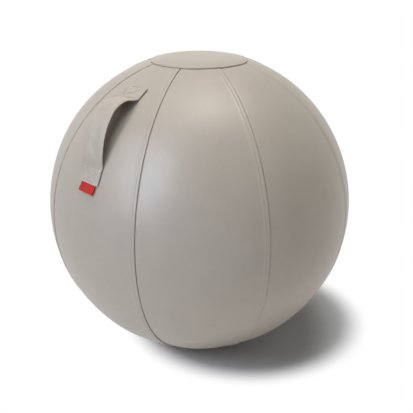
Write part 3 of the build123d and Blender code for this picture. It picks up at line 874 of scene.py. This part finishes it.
def handle_layer(name, node, material, half_width, depth, thickness, corner):
    """One layer of the handle as a closed sheet with rounded edges and end corners."""
    start, end = SEWN_TOP[0], SEWN_BASE[1]
    scale = DEGREE
    near = np.array([0, 0.25, 0.5, 0.9, 1.4, 2.0, 2.8]) / 1000 / scale
    middle = strap_rows(start + near[-1], end - near[-1], STRAP_ROW)
    polar = np.concatenate([start + near[:-1], middle, end - near[:-1][::-1]])
    from_end = np.minimum(polar - start, end - polar) * scale
    inside = np.clip(corner - from_end, 0, corner)
    half = half_width - corner + np.sqrt(np.maximum(corner**2 - inside**2, 0))
    edge = np.array([0, 0.12, 0.35, 0.7, 1.2, 1.8]) / 1000
    share = np.linspace(-1, 1, 29)[1:-1]
    left = -half[:, None] + edge
    body = (half[:, None] - edge[-1]) * share
    side = np.concatenate([left, body, -left[:, ::-1]], 1)
    outer_face = strap_point(polar[:, None], side, depth)
    normal = surface_normals(outer_face)
    from_edge = np.minimum(half[:, None] - np.abs(side), from_end[:, None])
    round_in = 1 - np.clip(from_edge / EDGE_ROUND, 0, 1)
    full = np.maximum(np.sqrt(np.maximum(1 - round_in**2, 0)), 0.25) * thickness / 2
    centre = outer_face - normal * thickness / 2
    along = lengths_along(centre[:, UV_COLUMN])
    uvs = np.stack([side, np.broadcast_to(along[:, None], side.shape)], -1)
    layer = slab(
        name, centre + normal * full[..., None], centre - normal * full[..., None], material, uvs
    )
    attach(layer, "ball")
    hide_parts(node)
    return layer


def strap_line(ends, lift, count=40):
    """Points and normals along a line on the strap between two (polar, side) ends."""
    (polar_a, side_a), (polar_b, side_b) = ends
    share = np.linspace(0, 1, count)
    polar, side = polar_a + (polar_b - polar_a) * share, side_a + (side_b - side_a) * share
    step_polar, step_side = 0.03, 0.0004
    point = strap_point(polar, side)
    down = strap_point(polar + step_polar, side) - point
    across = strap_point(polar, side + step_side) - point
    normal = np.cross(down, across)
    normal /= np.linalg.norm(normal, axis=-1, keepdims=True)
    normal *= np.sign(np.sum(normal * (point - BALL_CENTRE), axis=-1, keepdims=True))
    return point + normal * lift, normal


strap = handle_layer(
    "handle_outer", "handle_strap", HANDLE, STRAP_HALF_WIDTH, 0.0, STRAP_THICKNESS, STRAP_CORNER
)
lining = handle_layer(
    "handle_inner", "handle_lining", LINING, LINING_HALF_WIDTH, STRAP_THICKNESS,
    LINING_THICKNESS, STRAP_CORNER,
)

pad_lines = [strap_line(ends, 0.0004) for sewn in (SEWN_TOP, SEWN_BASE) for ends in box_lines(sewn)]
stitches("handle_box_stitching", pad_lines, HANDLE_THREAD, *BOX_STITCH)
edge_side = STRAP_HALF_WIDTH - EDGE_INSET
edge_lines = [
    strap_line(((SEWN_TOP[1], side), (SEWN_BASE[0], side)), 0.0001, 400)
    for side in (-edge_side, edge_side)
]
stitches("handle_edge_stitching", edge_lines, THREAD)


def backing_patch(end, sewn):
    """A stout patch inside the cover, behind one sewn end of the handle."""
    polar = np.linspace(sewn[0] - PATCH_MARGIN, sewn[1] + PATCH_MARGIN, 40)[:, None]
    side = np.linspace(-PATCH_HALF_WIDTH, PATCH_HALF_WIDTH, 60)[None, :]
    faces = []
    for depth in (COVER_THICKNESS + 0.0001, COVER_THICKNESS + 0.0010):
        angle, across = np.broadcast_arrays(np.radians(polar), side)
        out = from_centre(HANDLE_OUT, angle)
        level = np.sqrt((BALL_RADIUS - depth) ** 2 - across**2)
        faces.append(BALL_CENTRE + out * level[..., None] + HANDLE_SIDE * across[..., None])
    uvs = np.stack(np.broadcast_arrays(side, np.radians(polar) * BALL_RADIUS), -1)
    patch = slab(f"handle_patch_{end}", faces[0], faces[1], BACKING, uvs)
    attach(patch, "ball")
    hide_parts(f"handle_backing_{end}")


backing_patch("upper", SEWN_TOP)
backing_patch("lower", SEWN_BASE)


# ---------------------------------------------------------------- label

def label():
    """Red woven ribbon, folded double, hanging from its sewn end in a soft loop."""
    hinge = np.array(joints["label_lift"]["pos_m"])
    side_way = -np.array(joints["label_lift"]["axis"])
    out = (hinge - BALL_CENTRE) / np.linalg.norm(hinge - BALL_CENTRE)
    down = np.cross(side_way, out)
    down *= -np.sign(down[2])
    down, side_way = (
        down * math.cos(LABEL_SLANT) - side_way * math.sin(LABEL_SLANT),
        side_way * math.cos(LABEL_SLANT) + down * math.sin(LABEL_SLANT),
    )
    hang = down * math.cos(LABEL_LIFT) + out * math.sin(LABEL_LIFT)
    rise = out * math.cos(LABEL_LIFT) - down * math.sin(LABEL_LIFT)
    straight = LABEL_LENGTH - LABEL_LOOP
    run = np.linspace(-0.0008, straight, 15)

    def gape(place):
        """Half the distance between the two layers."""
        return LABEL_GAPE + (LABEL_LOOP - LABEL_GAPE) * smooth(0, straight, place)

    bend = np.linspace(math.pi / 2, -math.pi / 2, 13)[1:-1]
    along = np.concatenate([run, straight + LABEL_LOOP * np.cos(bend), run[::-1]])
    height = np.concatenate([gape(run), LABEL_LOOP * np.sin(bend), -gape(run[::-1])])
    across = np.linspace(-1, 1, 33)
    curl = 0.0007 * (along[:, None] / LABEL_LENGTH) ** 2 * (across[None, :] - 0.2) ** 2
    side = across * LABEL_HALF_WIDTH
    middle = (
        hinge
        + hang * along[:, None, None]
        + rise * (height[:, None] + curl)[..., None]
        + side_way * side[None, :, None]
    )
    step_down, step_across = np.gradient(middle, axis=0), np.gradient(middle, axis=1)
    normal = np.cross(step_across, step_down)
    normal /= np.linalg.norm(normal, axis=-1, keepdims=True)
    if np.dot(normal[2, 16], rise) < 0:
        normal = -normal
    arc = np.concatenate([[0], np.cumsum(np.hypot(np.diff(along), np.diff(height)))])
    uvs = np.stack(np.broadcast_arrays(side[None, :], arc[:, None]), -1)
    ribbon = slab(
        "label_ribbon", middle + normal * LABEL_RIBBON / 2, middle - normal * LABEL_RIBBON / 2,
        LABEL, uvs,
    )
    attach(ribbon, "label_flap")
    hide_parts("label")


label()


# ---------------------------------------------------------------- zip

ZIP_OUT = level_out(ZIP_AZIMUTH)
ZIP_ACROSS = level_out(ZIP_AZIMUTH + math.pi / 2)
TAPE_OVERRUN = math.radians(1.5)


def zip_point(across, polar, radius):
    """Point of the zip: across it, down it, and away from the ball's centre."""
    across, polar, radius = np.broadcast_arrays(across, polar, radius)
    out = from_centre(ZIP_OUT, polar)
    return BALL_CENTRE + ZIP_ACROSS * across[..., None] + out * radius[..., None]


def zip_tape(name, side):
    """Woven tape with a thick cord at the edge that carries the teeth."""
    across = np.array([0, 0.1, 0.3, 0.6, 0.9, 1.2, 1.5, 1.9, 2.6, 4, 6, 8, 10, 11.6, 12.0]) / 1000
    polar = np.linspace(ZIP_TOP_POLAR - TAPE_OVERRUN, ZIP_BASE_POLAR + TAPE_OVERRUN, 260)[:, None]
    cord = 0.00045 * np.sqrt(np.clip(1 - ((across - 0.0007) / 0.0008) ** 2, 0, 1))
    half = 0.00026 + cord
    ripple = TAPE_RIPPLE * np.sin(polar * RIPPLES) * smooth(0.002, 0.010, across)
    place = side * (TAPE_EDGE + across)
    outer = zip_point(place, polar, CHAIN_RADIUS + half + ripple)
    inner = zip_point(place, polar, CHAIN_RADIUS - half + ripple)
    uvs = np.stack(np.broadcast_arrays(across[None, :], polar * CHAIN_RADIUS), -1)
    tape = slab(f"zip_{name}_tape", outer, inner, TAPE, uvs)
    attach(tape, "ball")
    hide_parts(f"zip_tape_{name}")


zip_tape("left", -1)
zip_tape("right", 1)

dress(TEETH, "zip_teeth_left", "zip_teeth_right", "zip_top_stops", "zip_bottom_stop")
dress(METAL, "zip_slider", "zip_pull")
dress(RUBBER, "inner_ball")
dress(VALVE, "valve_seat", "valve_plug")
dress(IRON, "base_weight_ring")


# ---------------------------------------------------------------- camera and light

def facing(azimuth, elevation):
    """Direction from the ball, with the azimuth in degrees to the right of the camera."""
    turn, rise = math.radians(CAMERA_AZIMUTH + azimuth), math.radians(elevation)
    return level_out(turn) * math.cos(rise) + np.array([0, 0, math.sin(rise)]), turn


def add_camera():
    """The camera, at the photograph's angle."""
    data = bpy.data.cameras.new("camera")
    data.lens = CAMERA_LENS
    data.sensor_width = 36.0
    camera = bpy.data.objects.new("camera", data)
    camera.location = BALL_CENTRE + facing(0, CAMERA_ELEVATION)[0] * CAMERA_DISTANCE
    camera.rotation_euler = (
        math.radians(90 - CAMERA_TILT), 0, math.radians(CAMERA_AZIMUTH + CAMERA_TURN)
    )
    scene.collection.objects.link(camera)
    scene.camera = camera


def add_floor():
    """White floor. The camera and mirrored rays see bright paper that keeps the ball's shadow near
    the ball, and plain white further out, which is painted over the shadow's outer edge and cuts it
    short."""
    material, tree, shader = new_material("floor", (FLOOR_ALBEDO, FLOOR_ALBEDO, FLOOR_ALBEDO), 0.9)
    shader.inputs["Specular IOR Level"].default_value = 0.1
    grain = noise(tree, coordinates(tree), 40.0)
    bumped(tree, shader, grain, 0.0002, 0.2)
    paper = add_node(tree, "ShaderNodeBsdfDiffuse", Color=(*PAPER_COLOUR, 1))
    white = add_node(tree, "ShaderNodeEmission", Strength=1.0)
    place = add_node(tree, "ShaderNodeNewGeometry")
    distance = add_node(tree, "ShaderNodeVectorMath", operation="DISTANCE")
    distance.inputs[1].default_value = tuple(facing(*SHADE_DIRECTION)[0] * SHADE_OFFSET)
    tree.links.new(place.outputs["Position"], distance.inputs[0])
    # Share of painted white: it begins inside the shadow, about a centre moved towards it, and
    # covers the shadow's outer edge
    far = add_node(tree, "ShaderNodeMapRange", interpolation_type="SMOOTHSTEP")
    far.inputs["From Min"].default_value, far.inputs["From Max"].default_value = WHITE_FROM_TO
    tree.links.new(distance.outputs["Value"], far.inputs["Value"])
    seen = add_node(tree, "ShaderNodeMixShader")
    tree.links.new(far.outputs["Result"], seen.inputs["Fac"])
    tree.links.new(paper.outputs["BSDF"], seen.inputs[1])
    tree.links.new(white.outputs["Emission"], seen.inputs[2])
    final = add_node(tree, "ShaderNodeMixShader")
    tree.links.new(seen_rays(tree), final.inputs["Fac"])
    tree.links.new(shader.outputs["BSDF"], final.inputs[1])
    tree.links.new(seen.outputs["Shader"], final.inputs[2])
    tree.links.new(final.outputs["Shader"], tree.nodes["Material Output"].inputs["Surface"])
    size = FLOOR_SIZE / 2
    corners = [(-size, -size, 0), (size, -size, 0), (size, size, 0), (-size, size, 0)]
    floor = mesh_object("floor", corners, [(0, 1, 2, 3)], material, shade=False)
    return floor


def seen_rays(tree):
    """1 for rays from the camera and for those that mirror or pass through something."""
    rays = add_node(tree, "ShaderNodeLightPath").outputs
    mirrored = combine(tree, "MAXIMUM", rays["Is Glossy Ray"], rays["Is Transmission Ray"])
    return combine(tree, "MAXIMUM", rays["Is Camera Ray"], mirrored)


def add_world():
    """Soft even light, with a white background behind it."""
    world = bpy.data.worlds.new("studio")
    world.use_nodes = True
    scene.world = world
    tree = world.node_tree
    ambient = tree.nodes["Background"]
    ambient.inputs["Color"].default_value = (*AMBIENT_COLOUR, 1)
    ambient.inputs["Strength"].default_value = AMBIENT_STRENGTH
    backdrop = add_node(tree, "ShaderNodeBackground", Color=(1, 1, 1, 1), Strength=1.0)
    mix = add_node(tree, "ShaderNodeMixShader")
    tree.links.new(seen_rays(tree), mix.inputs["Fac"])
    tree.links.new(ambient.outputs["Background"], mix.inputs[1])
    tree.links.new(backdrop.outputs["Background"], mix.inputs[2])
    tree.links.new(mix.outputs["Shader"], tree.nodes["World Output"].inputs["Surface"])


def add_lamp(name, role, azimuth, elevation, distance, size, power, colour):
    """A soft box that faces the ball. azimuth is to the right of the camera, in degrees.

    A key lights everything, and a matte lamp does so without gloss. A fill is a matte lamp that
    leaves the floor out, and a sheen shows only as gloss.
    """
    out, turn = facing(azimuth, elevation)
    data = bpy.data.lights.new(name, "AREA")
    data.shape = "RECTANGLE"
    data.size, data.size_y = size
    data.energy = power
    data.color = colour
    lamp = bpy.data.objects.new(name, data)
    lamp.location = BALL_CENTRE + out * distance
    lamp.rotation_euler = (math.radians(90 - elevation), 0, turn)
    scene.collection.objects.link(lamp)
    lamp.visible_camera = False
    lamp.visible_diffuse = role != "sheen"
    lamp.visible_glossy = role in ("key", "sheen")
    if role in ("fill", "sheen"):
        lamp.light_linking.receiver_collection = BESIDE_FLOOR


add_camera()
floor = add_floor()
add_world()

# Fill and sheen lamps leave the floor out, so that its shadow isn't washed out
BESIDE_FLOOR = bpy.data.collections.new("lit_by_all_but_the_fill")
BESIDE_FLOOR.objects.link(floor)
for item in BESIDE_FLOOR.collection_objects:
    item.light_linking.link_state = "EXCLUDE"

for lamp_name, lamp in LAMPS.items():
    add_lamp(lamp_name, *lamp)

scene.view_settings.view_transform = "Standard"
